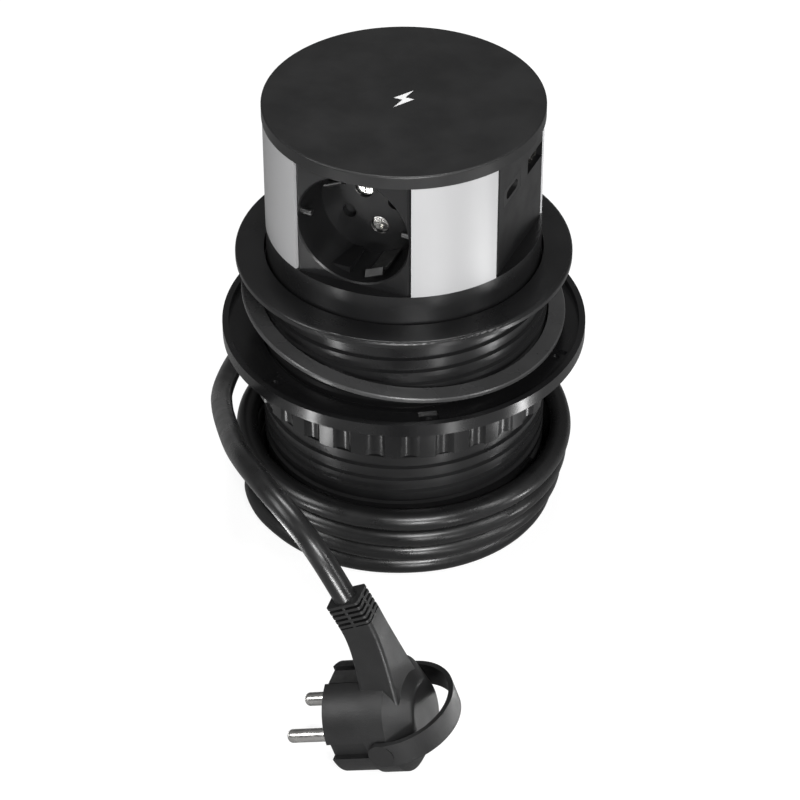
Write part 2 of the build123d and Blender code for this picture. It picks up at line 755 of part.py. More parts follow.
# Tower.
def make_tower():
    lower = rod(TOWER_R, LEDGE_Z - TOWER_BOTTOM_Z, TOWER_BOTTOM_Z)
    upper = rod(BODY_R, TOWER_TOP_Z - LEDGE_Z, LEDGE_Z)
    body = lower + upper
    room = slab(-POCKET_HALF_W, POCKET_HALF_W, -TOWER_R - ROOM_PAST, -PLATE_BACK,
                LEDGE_Z, TOWER_TOP_Z + CUT_PAST)
    body = body - around(QUARTERS, room)
    body = body - rod(SKIRT_IN_R, LEDGE_Z - WEB_T - TOWER_BOTTOM_Z, TOWER_BOTTOM_Z)
    inner = rod(BODY_R - CORNER_WALL_T, TOWER_TOP_Z - TOP_WEB_T - LEDGE_Z + WEB_T, LEDGE_Z - WEB_T)
    half = PLATE_BACK - WALL_T
    box = slab(-half, half, -half, half, LEDGE_Z - WEB_T, TOWER_TOP_Z - TOP_WEB_T)
    body = body - (inner & box)
    body = body - rod(TOP_OPEN_R, TOP_WEB_T + 1, TOWER_TOP_Z - TOP_WEB_T)
    for a in CORNERS:
        p = polar(BOSS_AT_R, a)
        base = TOWER_BOTTOM_Z + BASE_PLATE_T
        body = body + rod(BOSS_R, LEDGE_Z - WEB_T - base, base, p.X, p.Y)
        body = body - rod(PLATE_SCREW_R, BOSS_HOLE_L, base, p.X, p.Y)
    for deg in SOCKET_FLATS.values():
        hole = rod(CUP_R + RUN_GAP, PLATE_BACK - FLOOR_BACK + ROOM_PAST, FLOOR_BACK - ROOM_PAST)
        body = body - flat_frame(deg) * hole
    port = flat_frame(PORT_FLAT, PORT_Z)
    wide = PORT_A_W + PORT_SHELL_T * 2 + RUN_GAP
    tall = PORT_A_H + PORT_SHELL_T * 2 + RUN_GAP
    body = body - port * slab(PORT_A_X - wide / 2, PORT_A_X + wide / 2, -tall / 2, tall / 2,
                              half - ROOM_PAST, PLATE_BACK)
    wide_c = PORT_C_SLOT_W + PORT_SHELL_T * 2 + RUN_GAP
    tall_c = PORT_C_SLOT_H + PORT_SHELL_T * 2 + RUN_GAP
    body = body - port * slab(PORT_C_X - wide_c / 2, PORT_C_X + wide_c / 2, -tall_c / 2, tall_c / 2,
                              half - ROOM_PAST, PLATE_BACK)
    return body


def make_base_plate():
    body = rod(PLATE_R, BASE_PLATE_T, TOWER_BOTTOM_Z)
    body = body + rod(BUSH_R, BUSH_H, TOWER_BOTTOM_Z + BASE_PLATE_T)
    body = body - rod(POST_R + RUN_GAP, POST_TOP_Z, 0)
    slot_x0 = RACK_PITCH_X - ADDENDUM - RUN_GAP * 2
    slot = slab(slot_x0, RACK_BACK_X + RUN_GAP * 2, -RACK_W / 2 - RUN_GAP * 2, RACK_W / 2 + RUN_GAP * 2,
                TOWER_BOTTOM_Z - 1, TOWER_BOTTOM_Z + BASE_PLATE_T + 1)
    gear_room = slab(GEAR_X - GEAR_R - GEAR_ROOM, slot_x0 + CUT_PAST, -GEAR_W / 2 - RUN_GAP,
                     GEAR_W / 2 + RUN_GAP, TOWER_BOTTOM_Z + BASE_PLATE_T - GEAR_ROOM_D,
                     TOWER_BOTTOM_Z + BASE_PLATE_T + CUT_PAST)
    body = body - slot - gear_room
    for a in CORNERS:
        p = polar(BOSS_AT_R, a)
        body = body - rod(PLATE_SCREW_R + FACE_GAP, BASE_PLATE_T + 2, TOWER_BOTTOM_Z - 1, p.X, p.Y)
        sink = Cone(PLATE_SCREW_HEAD_R + FACE_GAP, PLATE_SCREW_R + FACE_GAP, PLATE_SCREW_HEAD_H, align=MIN)
        body = body - Pos(p.X, p.Y, TOWER_BOTTOM_Z) * sink
    striker = slab(-STRIKER_W / 2, STRIKER_W / 2, LATCH_Y - STRIKER_T / 2, LATCH_Y + STRIKER_T / 2,
                   TOWER_BOTTOM_Z - STRIKER_H, TOWER_BOTTOM_Z + 1)
    return body + striker


def make_plate_screws():
    out = []
    long = BASE_PLATE_T + PLATE_SCREW_GRIP
    for a in CORNERS:
        p = polar(BOSS_AT_R, a)
        screw = sunk_screw(PLATE_SCREW_HEAD_R, PLATE_SCREW_HEAD_H, PLATE_SCREW_R, long)
        out.append(Pos(p.X, p.Y, TOWER_BOTTOM_Z) * Rot(180, 0, 0) * screw)
    return out


def make_panel(deg):
    ring = tube(TOWER_R, BODY_R, TOWER_TOP_Z - LEDGE_Z, LEDGE_Z)
    reach = TOWER_R * 2
    edge = math.radians(PANEL_HALF_DEG)
    wedge = Polygon((0, 0), (reach, -reach * math.tan(edge)), (reach, reach * math.tan(edge)), align=None)
    sector = Pos(0, 0, LEDGE_Z) * extrude(wedge, TOWER_TOP_Z - LEDGE_Z)
    return Rot(0, 0, deg) * (ring & sector)


def make_cap():
    body = rod(CAP_R, CAP_T, TOWER_TOP_Z)
    rim = [e for e in body.edges().filter_by(GeomType.CIRCLE) if e.center().Z > TOWER_TOP_Z + 1]
    body = fillet(rim, CAP_EDGE)
    body = body - rod(CAP_POCKET_R, CAP_POCKET_H, TOWER_TOP_Z)
    body = body - Pos(0, 0, TOWER_TOP_Z + CAP_T - MARK_T) * extrude(mark_face(), MARK_T + 1)
    tab = slab(CAP_TAB_R - CAP_TAB_T, CAP_TAB_R, -CAP_TAB_W / 2, CAP_TAB_W / 2,
               TOWER_TOP_Z - CAP_TAB_H, TOWER_TOP_Z)
    tab = tab & rod(TOP_OPEN_R - FACE_GAP, CAP_TAB_H, TOWER_TOP_Z - CAP_TAB_H)
    body = body + around(CORNERS, tab)
    post_top = TOWER_TOP_Z + CAP_POST_IN
    for sx in (-1, 1):
        for sy in (-1, 1):
            x, y = sx * CAP_POST_AT, sy * CAP_POST_AT
            foot = rod(CAP_POST_R, post_top - BOARD_Z - BOARD_T, BOARD_Z + BOARD_T, x, y)
            body = body + foot
    return body


def mark_face():
    h, w = MARK_H / 2, MARK_W / 2
    tip, notch = w * MARK_TIP_SHARE, w * MARK_NOTCH_SHARE
    low, high = -h * MARK_LOW_SHARE, h * MARK_HIGH_SHARE
    return Polygon((tip, h), (-w, low), (-notch, low), (-tip, -h), (w, high), (notch, high), align=None)


def make_mark():
    return Pos(0, 0, TOWER_TOP_Z + CAP_T - MARK_T) * extrude(mark_face(), MARK_T)


def make_charging_coil():
    return tube(COIL_OUT_R, COIL_IN_R, COIL_T, TOWER_TOP_Z + CAP_POCKET_H - COIL_T)


def make_ferrite():
    return rod(FERRITE_R, FERRITE_T, TOWER_TOP_Z + CAP_POCKET_H - COIL_T - FERRITE_T)


def make_board():
    body = slab(-BOARD_HALF, BOARD_HALF, -BOARD_HALF, BOARD_HALF, BOARD_Z, BOARD_Z + BOARD_T)
    chip = slab(-CHIP_W / 2, CHIP_W / 2, -CHIP_W / 2, CHIP_W / 2, BOARD_Z + BOARD_T,
                BOARD_Z + BOARD_T + CHIP_H)
    return body + [Pos(x, y, 0) * chip for x, y in CHIP_SPOTS]


# Sockets.
def make_insert(deg):
    low = LEDGE_Z - SOCKET_Z
    high = TOWER_TOP_Z - TOP_GAP - SOCKET_Z
    plate = slab(-FLAT_HALF_W, FLAT_HALF_W, low, high, PLATE_BACK, FLAT_APOTHEM)
    sides = [e for e in plate.edges().filter_by(Axis.Y) if e.center().Z > PLATE_BACK + CUT_PAST]
    plate = chamfer(sides, PLATE_CHAMFER)
    body = plate + rod(CUP_R, PLATE_BACK - FLOOR_BACK, FLOOR_BACK)
    funnel = Cone(FLOOR_R, MOUTH_R, RECESS_D, align=MIN)
    body = body - Pos(0, 0, FLOOR_OUT) * funnel
    lip = Cone(MOUTH_R, MOUTH_R + MOUTH_CHAMFER, MOUTH_CHAMFER, align=MIN)
    body = body - Pos(0, 0, FLAT_APOTHEM - MOUTH_CHAMFER) * lip
    body = body + rod(DISC_R, DISC_H, FLOOR_OUT)
    for x in (PAD_LEFT_X, PAD_RIGHT_X):
        pad = slab(x - PAD_W / 2, x + PAD_W / 2, -FLOOR_R - CUT_PAST, -FLOOR_R + PAD_H, FLOOR_OUT,
                   FLAT_APOTHEM - PAD_D)
        body = body + (pad & rod(CUP_R - PAD_ROUND_GAP, RECESS_D, FLOOR_OUT))
    for a in SCREW_ANGLES:
        p = polar(SCREW_AT_R, a)
        body = body + rod(SCREW_BOSS_R, SCREW_POCKET_D - CUP_FLOOR_T + SCREW_BOSS_T,
                          FLOOR_OUT - SCREW_POCKET_D - SCREW_BOSS_T, p.X, p.Y)
    for a in SCREW_ANGLES:
        p = polar(SCREW_AT_R, a)
        body = body - rod(SCREW_POCKET_R, RECESS_D, FLOOR_OUT - SCREW_POCKET_D, p.X, p.Y)
        body = body - rod(SCREW_SHANK_R + FACE_GAP, RECESS_D, FLOOR_OUT - SCREW_POCKET_D - SCREW_ROOM_D,
                          p.X, p.Y)
    for a in PIN_ANGLES:
        p = polar(PIN_PITCH_HALF, a)
        body = body - rod(PIN_HOLE_R, RECESS_D, FLOOR_BACK - 1, p.X, p.Y)
    for a in SCREW_ANGLES:
        slot = slab(CLIP_R - FACE_GAP, CLIP_R + CLIP_T + FACE_GAP, -CLIP_HALF_W - FACE_GAP,
                    CLIP_HALF_W + FACE_GAP, FLOOR_BACK - CUT_PAST, FLOOR_OUT + FACE_GAP)
        body = body - Rot(0, 0, a) * slot
        relief = slab(CLIP_R - FACE_GAP, CLIP_R + CLIP_T + FACE_GAP, -CLIP_HALF_W - FACE_GAP,
                      CLIP_HALF_W + FACE_GAP, FLOOR_OUT, FLAT_APOTHEM - PAD_D + CUT_PAST)
        body = body - Rot(0, 0, a) * relief
    for x in (-1, 1):
        bed = Pos(0, STUD_UP, FLAT_APOTHEM - STUD_D) * Rot(0, 90 * x, 0)
        body = body - bed * rod(STUD_R, STUD_L, MOUTH_R - STUD_IN)
    return flat_frame(deg) * body


def make_studs():
    out = []
    for deg in SOCKET_FLATS.values():
        for x in (-1, 1):
            pin = Pos(0, STUD_UP, FLAT_APOTHEM - STUD_D) * Rot(0, 90 * x, 0)
            shape = rod(STUD_R, STUD_L + STUD_ROOT, MOUTH_R - STUD_IN - STUD_ROOT)
            out.append(flat_frame(deg) * pin * shape)
    return out


def make_carrier(deg):
    front = FLOOR_OUT - SCREW_POCKET_D - SCREW_BOSS_T
    body = rod(CARRIER_R, FLOOR_BACK - CARRIER_BACK, CARRIER_BACK)
    bay_back = FLOOR_BACK - FACE_GAP * 2 - SHUTTER_T - RUN_GAP
    bay = slab(-SHUTTER_HALF_L - RUN_GAP, CARRIER_R + 1, -SHUTTER_HALF_W - RUN_GAP,
               SHUTTER_HALF_W + RUN_GAP, bay_back, FLOOR_BACK)
    body = body - Rot(0, 0, TURN_DEG) * bay
    for a in SCREW_ANGLES:
        p = polar(SCREW_AT_R, a)
        body = body - rod(SCREW_BOSS_R + FACE_GAP, FLOOR_BACK, front, p.X, p.Y)
        body = body - rod(SCREW_SHANK_R, front - CARRIER_BACK - CARRIER_SKIN, CARRIER_BACK + CARRIER_SKIN,
                          p.X, p.Y)
    for a in PIN_ANGLES:
        p = polar(PIN_PITCH_HALF, a)
        body = body - rod(TUBE_R, FLOOR_BACK, CARRIER_BACK, p.X, p.Y)
    return flat_frame(deg) * body


def make_shutter(deg):
    back = FLOOR_BACK - FACE_GAP * 2 - SHUTTER_T
    body = slab(-SHUTTER_HALF_L, SHUTTER_HALF_L, -SHUTTER_HALF_W, SHUTTER_HALF_W, back, back + SHUTTER_T)
    body = body - rod(SHUTTER_WINDOW_R, SHUTTER_T + 2, back - 1, PIN_PITCH_HALF - SHUTTER_TRAVEL)
    return flat_frame(deg) * Rot(0, 0, TURN_DEG) * body


def make_contacts(deg):
    front = FLOOR_BACK - FACE_GAP * 2 - SHUTTER_T - RUN_GAP
    out = []
    for a in PIN_ANGLES:
        p = polar(PIN_PITCH_HALF, a)
        body = Pos(p.X, p.Y, 0) * tube(TUBE_R, TUBE_BORE_R, front - CARRIER_BACK, CARRIER_BACK)
        slit = slab(-TUBE_R, TUBE_R, -DRIVE_W / 2, DRIVE_W / 2, CARRIER_BACK + TUBE_SLIT_D, front + CUT_PAST)
        out.append(flat_frame(deg) * (body - Pos(p.X, p.Y, 0) * Rot(0, 0, a) * slit))
    return out


def make_earth(deg):
    ring = tube(STRAP_OUT_R, STRAP_IN_R, STRAP_T, FLOOR_BACK - STRAP_T)
    reach = STRAP_OUT_R + 2
    side = slab(-reach, 0, -reach, reach, FLOOR_BACK - STRAP_T, FLOOR_BACK)
    body = ring & (Rot(0, 0, TURN_DEG) * side)
    top = FLAT_APOTHEM - CLIP_TOP_D
    bend = FLAT_APOTHEM - CLIP_BEND_D
    foot = FLAT_APOTHEM - CLIP_FOOT_D
    t = CLIP_T
    for a in SCREW_ANGLES:
        r = CLIP_R
        strip = Polygon(
            (r, FLOOR_BACK - STRAP_T), (r + t, FLOOR_BACK - STRAP_T), (r + t, foot),
            (r + t - CLIP_BULGE, bend), (r + t, top), (r + t - CLIP_TIP, top + CLIP_TIP),
            (r - CLIP_BULGE, bend), (r, foot), align=None,
        )
        leg = Rot(90, 0, 0) * Pos(0, 0, -CLIP_HALF_W) * extrude(strip, CLIP_HALF_W * 2)
        body = body + Rot(0, 0, a) * leg
    return flat_frame(deg) * body


def make_socket_screws():
    out = []
    seat = FLOOR_OUT - SCREW_POCKET_D
    long = seat - CARRIER_BACK - SOCKET_SCREW_SHORT
    for deg in SOCKET_FLATS.values():
        for a in SCREW_ANGLES:
            p = polar(SCREW_AT_R, a)
            screw = rivet_screw(SCREW_HEAD_R, SCREW_HEAD_H, SCREW_SHANK_R, long)
            out.append(flat_frame(deg) * Pos(p.X, p.Y, seat) * screw)
    return out


# Charging ports.
def make_port_panel():
    low = LEDGE_Z - PORT_Z
    high = TOWER_TOP_Z - TOP_GAP - PORT_Z
    plate = slab(-FLAT_HALF_W, FLAT_HALF_W, low, high, PLATE_BACK, FLAT_APOTHEM)
    sides = [e for e in plate.edges().filter_by(Axis.Y) if e.center().Z > PLATE_BACK + CUT_PAST]
    plate = chamfer(sides, PLATE_CHAMFER)
    frame_w, frame_h = PORT_C_FRAME_W + FACE_GAP * 2, PORT_C_FRAME_H + FACE_GAP * 2
    plate = plate - slab(PORT_C_X - frame_w / 2, PORT_C_X + frame_w / 2, -frame_h / 2, frame_h / 2,
                         PLATE_BACK, FLAT_APOTHEM + 1)
    plate = plate - slab(PORT_A_X - PORT_A_W / 2, PORT_A_X + PORT_A_W / 2, -PORT_A_H / 2, PORT_A_H / 2,
                         PLATE_BACK - 1, FLAT_APOTHEM + 1)
    return flat_frame(PORT_FLAT, PORT_Z) * plate


def slot_prism(w, h, z0, z1):
    return Pos(0, 0, z0) * extrude(SlotOverall(w, h), z1 - z0)


def make_port_frame():
    body = slab(PORT_C_X - PORT_C_FRAME_W / 2, PORT_C_X + PORT_C_FRAME_W / 2, -PORT_C_FRAME_H / 2,
                PORT_C_FRAME_H / 2, PLATE_BACK, FLAT_APOTHEM)
    slot = slot_prism(PORT_C_SLOT_W, PORT_C_SLOT_H, PLATE_BACK - CUT_PAST, FLAT_APOTHEM + CUT_PAST)
    body = body - Pos(PORT_C_X, 0, 0) * slot
    return flat_frame(PORT_FLAT, PORT_Z) * body


def make_port_shells():
    a_back = FLAT_APOTHEM - PORT_A_DEPTH
    a_w, a_h = PORT_A_W + PORT_SHELL_T * 2, PORT_A_H + PORT_SHELL_T * 2
    shell_a = slab(PORT_A_X - a_w / 2, PORT_A_X + a_w / 2, -a_h / 2, a_h / 2, a_back, PLATE_BACK)
    shell_a = shell_a - slab(PORT_A_X - PORT_A_W / 2, PORT_A_X + PORT_A_W / 2, -PORT_A_H / 2,
                             PORT_A_H / 2, a_back + 1, PLATE_BACK + 1)
    c_back = FLAT_APOTHEM - PORT_A_DEPTH
    outer = slot_prism(PORT_C_SLOT_W + PORT_SHELL_T * 2, PORT_C_SLOT_H + PORT_SHELL_T * 2, c_back, PLATE_BACK)
    inner = slot_prism(PORT_C_SLOT_W, PORT_C_SLOT_H, FLAT_APOTHEM - PORT_C_DEPTH, PLATE_BACK + 1)
    shell_c = Pos(PORT_C_X, 0, 0) * (outer - inner)
    place = flat_frame(PORT_FLAT, PORT_Z)
    return [place * shell_a, place * shell_c]


def make_port_tongues():
    a_back = FLAT_APOTHEM - PORT_A_DEPTH + 1
    w = PORT_A_W * TONGUE_A_SHARE
    up = PORT_A_H * TONGUE_A_UP_SHARE
    tongue_a = slab(PORT_A_X - w / 2, PORT_A_X + w / 2, up, up + TONGUE_A_H,
                    a_back, PLATE_BACK - TONGUE_A_IN)
    w = PORT_C_SLOT_W * TONGUE_C_SHARE
    tongue_c = slab(PORT_C_X - w / 2, PORT_C_X + w / 2, -TONGUE_C_H / 2, TONGUE_C_H / 2,
                    FLAT_APOTHEM - PORT_C_DEPTH, PLATE_BACK - TONGUE_C_IN)
    place = flat_frame(PORT_FLAT, PORT_Z)
    return [place * tongue_a, place * tongue_c]


def make_port_board():
    high = USB_BOARD_UP
    body = slab(-USB_BOARD_W / 2, USB_BOARD_W / 2, high - USB_BOARD_H, high,
                USB_BOARD_OUT - USB_BOARD_T, FLAT_APOTHEM - PORT_A_DEPTH)
    ledge = slab(-USB_BOARD_W / 2, USB_BOARD_W / 2, high - USB_BOARD_H - USB_LEDGE_HALF,
                 high - USB_BOARD_H + USB_LEDGE_HALF,
                 USB_BOARD_OUT - USB_BOARD_T, PLATE_BACK - WALL_T)
    return flat_frame(PORT_FLAT, PORT_Z) * (body + ledge)


def make_transformer():
    back = USB_BOARD_OUT - USB_BOARD_T
    core = slab(-XFMR_W / 2, XFMR_W / 2, XFMR_LOW, XFMR_LOW + XFMR_H, back - XFMR_D, back)
    cap = Pos(CAN_X, CAN_Y, 0) * rod(CAN_R, CAN_L, back - CAN_L)
    return [flat_frame(PORT_FLAT, PORT_Z) * core, flat_frame(PORT_FLAT, PORT_Z) * cap]


# Cord.
def coil_stations():
    s, d = gland_line()
    stations = [(s, d), (s + d * START_L, d)]
    flat = Vector(0, 0, 0)
    for n in range(COIL_LEVELS):
        r = COIL_R0 + COIL_R_STEP * n
        z = COIL_Z0 + COIL_Z_STEP * n
        for quarter in range(4):
            deg = 180.0 + 90.0 * quarter + VIEW_DEG
            height = z
            rad = r
            if quarter == 0 and n == 0:
                deg = deg + COIL_FIRST_DEG
            elif quarter == 0:
                height = z + COIL_LEFT_RISE
            if quarter == 3:
                height = z + COIL_Z_STEP * COIL_BACK_SHARE
                rad = r + COIL_R_STEP * COIL_BACK_OUT_SHARE
            point = polar(rad, deg, height)
            tangent = Vector(0, 0, 1).cross(polar(1.0, deg))
            if quarter == 3:
                tangent = (tangent + Vector(0, 0, COIL_Z_STEP / (math.pi * r))).normalized()
            stations.append((point, tangent))
    deg = 90.0 + VIEW_DEG
    tangent = Vector(0, 0, 1).cross(polar(1.0, deg))
    end = (polar(COIL_END_R, deg, COIL_END_Z), tangent)
    run_in = (polar(COIL_END_R, deg, COIL_END_Z) - tangent * CORD_R * 2, tangent)
    stations = stations[:-1] + [run_in, end]
    return stations


LEAD = [
    (-40.5, 47.9, 35.9),
    (-58.5, 39.3, 35.7),
    (-70.3, 24.3, 35.4),
    (-74.4, 4.3, 35.5),
    (-68.2, -18.0, 35.6),
    (-55.1, -42.3, 42.5),
    (-40.8, -66.4, 59.7),
    (-31.6, -91.7, 86.4),
    (-16.7, -117.3, 106.9),
    (3.8, -137.8, 106.2),
    (23.5, -144.7, 98.0),
    (35.1, -147.4, 86.2),
]
BEND_SHARE = 0.45


def plug_frame():
    z = Vector(*PLUG_PIN_DIR).normalized() * -1.0
    x = Vector(*PLUG_LINE_DIR)
    x = (x - z * x.dot(z)).normalized()
    return Plane(origin=(PLUG_X, PLUG_Y, PLUG_Z), x_dir=x, z_dir=z)


def relief_end():
    lean = math.radians(RELIEF_LEAN)
    frame = plug_frame()
    y = frame.z_dir.cross(frame.x_dir)
    point = frame.origin + y * RELIEF_Y + frame.z_dir * RELIEF_Z
    direction = y * math.cos(lean) - frame.z_dir * math.sin(lean)
    return point, direction


def lead_points():
    deg = 90.0 + VIEW_DEG
    start = polar(COIL_END_R, deg, COIL_END_Z)
    tangent = Vector(0, 0, 1).cross(polar(1.0, deg))
    middle = [Vector(*p) for p in LEAD]
    first = start + tangent * (middle[0] - start).dot(tangent)
    end, direction = relief_end()
    last = end + direction * (middle[-1] - end).dot(direction)
    return [start, first] + middle[1:-1] + [last, end]


def bend_radii(points):
    runs = [(b - a).length for a, b in zip(points, points[1:])]
    radii = []
    for i in range(1, len(points) - 1):
        a = (points[i] - points[i - 1]).normalized()
        b = (points[i + 1] - points[i]).normalized()
        turn = math.acos(max(-1.0, min(1.0, a.dot(b))))
        radii.append(BEND_SHARE * min(runs[i - 1], runs[i]) / math.tan(turn / 2))
    return runs, radii


def make_lead():
    points = lead_points()
    runs, radii = bend_radii(points)
    print("lead runs", [round(v, 1) for v in runs])
    print("lead radii", [round(v, 1) for v in radii])
    path = FilletPolyline(*[tuple(p) for p in points], radius=radii)
    wire = Wire(path.edges()) if not isinstance(path, Wire) else path
    section = Plane(origin=wire @ 0, z_dir=wire % 0) * Circle(CORD_R)
    solid = sweep(section, path=wire)
    volume = wire.length * math.pi * CORD_R ** 2
    print("lead length", round(wire.length, 1), "volume", round(solid.volume), "expected", round(volume))
    box = solid.bounding_box()
    print("lead lowest", round(box.min.Z, 2), "highest", round(box.max.Z, 2))
    return solid


def least_gap(wire, r):
    steps = 900
    pts = [wire @ (i / steps) for i in range(steps + 1)]
    pitch = wire.length / steps
    skip = int(r * 6 / pitch)
    best = 1e9
    for i in range(0, steps + 1, 2):
        for j in range(i + skip, steps + 1, 2):
            d = (pts[i] - pts[j]).length
            if d < best:
                best = d
    return best - 2 * r


def make_coil():
    solid, wire = sweep_round(chain(coil_stations()), CORD_R)
    volume = wire.length * math.pi * CORD_R ** 2
    print("coil length", round(wire.length, 1), "volume", round(solid.volume), "expected", round(volume))
    print("coil least gap to itself", round(least_gap(wire, CORD_R), 2))
    return solid


# Plug.
def plug_shell():
    front = rod(PLUG_R, PLUG_FRONT_D + 1, 0)
    rear = rod(REAR_R, REAR_SIDE_Z - REAR_Z, REAR_Z)
    dome = Pos(0, 0, REAR_SIDE_Z) * Cone(REAR_R, DOME_FLAT_R, DOME_Z - REAR_SIDE_Z, align=MIN)
    return front, rear, dome


def neck_section(back, w, d, sink=0.0):
    lean = math.radians(RELIEF_LEAN)
    rise = back * math.sin(lean) - sink
    origin = Vector(0, RELIEF_Y - back * math.cos(lean), RELIEF_Z + rise)
    frame = Plane(origin=origin, x_dir=(1, 0, 0), z_dir=(0, math.cos(lean), -math.sin(lean)))
    return frame * RectangleRounded(w, d, min(NECK_CORNER_R, min(w, d) * CORNER_SHARE))


def make_plug_body():
    front, rear, dome = plug_shell()
    relief_l = RIB_COUNT * RIB_PITCH
    tops = [e for e in dome.edges().filter_by(GeomType.CIRCLE) if e.center().Z > DOME_Z - 1]
    dome = fillet(tops, DOME_EDGE)
    throat_w, throat_d = RELIEF_W * NECK_THROAT_W_SHARE, RELIEF_D * NECK_THROAT_D_SHARE
    root_w, root_d = NECK_W * NECK_ROOT_W_SHARE, NECK_D * NECK_ROOT_D_SHARE
    neck = loft([neck_section(relief_l - NECK_START, RELIEF_W, RELIEF_D),
                 neck_section(relief_l + NECK_THROAT, throat_w, throat_d, NECK_SINKS[0]),
                 neck_section(NECK_L - NECK_ROOT_SHORT, NECK_W, NECK_D, NECK_SINKS[1]),
                 neck_section(NECK_L + NECK_ROOT_PAST, root_w, root_d, NECK_SINKS[2])])
    body = front + rear + dome + neck
    core = extrude(neck_section(0, RELIEF_W - 2 * RIB_SINK, RELIEF_D - 2 * RIB_SINK), -relief_l)
    body = body + core
    for i in range(RIB_COUNT):
        back = i * RIB_PITCH
        body = body + extrude(neck_section(back, RELIEF_W, RELIEF_D), -RIB_T)
    spine = extrude(neck_section(0, RELIEF_W, WEB_HALF * 2), -relief_l)
    cross = extrude(neck_section(0, WEB_HALF * 2, RELIEF_D), -relief_l)
    body = body + spine + cross
    for s in (-1, 1):
        slot = slab(-EARTH_SLOT_W / 2, EARTH_SLOT_W / 2, PLUG_R - EARTH_SLOT_D, PLUG_R + ROOM_PAST,
                    -CUT_PAST, PLUG_FRONT_D)
        body = body - Rot(0, 0, 90 - 90 * s) * slot
        guide = slab(PLUG_R - GUIDE_D, PLUG_R + ROOM_PAST, -GUIDE_W / 2, GUIDE_W / 2,
                     -CUT_PAST, PLUG_FRONT_D)
        body = body - Rot(0, 0, 90 - 90 * s) * guide
        socket = Pos(s * (REAR_R + FACE_GAP), LOOP_PIVOT_Y, LOOP_PIVOT_Z) * Rot(0, -90 * s, 0)
        body = body - socket * rod(LOOP_PIN_R + SHAFT_GAP, LOOP_PIN_L + LOOP_PIN_ROOM)
    body = body - rod(PLUG_FACE_POCKET_R, BRIDGE_T, 0)
    strap = slab(-EARTH_CLIP_W / 2, EARTH_CLIP_W / 2, -PLUG_R + EARTH_SLOT_D - FACE_GAP,
                 PLUG_R - EARTH_SLOT_D + FACE_GAP, BRIDGE_T - FACE_GAP, BRIDGE_T + EARTH_CLIP_T)
    body = body - strap
    return plug_frame().location * body


def make_plug_bridge():
    body = rod(PLUG_FACE_POCKET_R, BRIDGE_T, 0)
    for x in (-1, 1):
        body = body - rod(PIN_ROOT_R, PIN_ROOT, 0, x * PIN_PITCH_HALF)
    body = body - rod(FACE_DIMPLE_R, FACE_DIMPLE_D, 0, 0, FACE_DIMPLE_Y)
    return plug_frame().location * body


def make_plug_pins():
    out = []
    for x in (-1, 1):
        pin = rod(PIN_R, PIN_L - PIN_STEP, -PIN_L, x * PIN_PITCH_HALF)
        pin = pin + rod(PIN_ROOT_R, PIN_ROOT + PIN_STEP, -PIN_STEP, x * PIN_PITCH_HALF)
        tip = [e for e in pin.edges().filter_by(GeomType.CIRCLE) if e.center().Z < -PIN_L + 1]
        pin = fillet(tip, PIN_R * PIN_TIP_SHARE)
        out.append(plug_frame().location * pin)
    return out


def make_plug_earth():
    bar = slab(-EARTH_CLIP_W / 2, EARTH_CLIP_W / 2, -PLUG_R + EARTH_SLOT_D, PLUG_R - EARTH_SLOT_D,
               BRIDGE_T, BRIDGE_T + EARTH_CLIP_T)
    for s in (-1, 1):
        y = PLUG_R - EARTH_SLOT_D
        leg = slab(-EARTH_CLIP_W / 2, EARTH_CLIP_W / 2, y, y + EARTH_CLIP_T, EARTH_CLIP_START,
                   PLUG_FRONT_D - EARTH_CLIP_SHORT)
        bar = bar + Rot(0, 0, 90 - 90 * s) * leg
    return plug_frame().location * bar


def make_loop():
    rise = LOOP_TOP_Z - LOOP_PIVOT_Z
    outer = Plane.XZ * Ellipse(LOOP_R + LOOP_T, rise)
    inner = Plane.XZ * Ellipse(LOOP_R, rise - LOOP_T)
    band = extrude(outer, LOOP_W / 2, both=True) - extrude(inner, LOOP_W / 2, both=True)
    reach = LOOP_R + ROOM_PAST
    band = band & slab(-reach, reach, -LOOP_W, LOOP_W, -LOOP_FOOT, rise + CUT_PAST)
    for s in (-1, 1):
        eye = Pos(s * (LOOP_R + LOOP_T / 2), 0, 0) * Rot(0, 90, 0)
        band = band + eye * Cylinder(LOOP_W / 2, LOOP_T)
        pin = Pos(s * LOOP_R, 0, 0) * Rot(0, -90 * s, 0)
        band = band + pin * rod(LOOP_PIN_R, LOOP_PIN_L + LOOP_PIN_SINK, -LOOP_T / 2)
    return plug_frame().location * Pos(0, LOOP_PIVOT_Y, LOOP_PIVOT_Z) * band


def make_riser():
    solid, wire = sweep_round(chain(riser_stations()), RISER_R)
    print("riser length", round(wire.length, 1), "volume", round(solid.volume))
    return solid


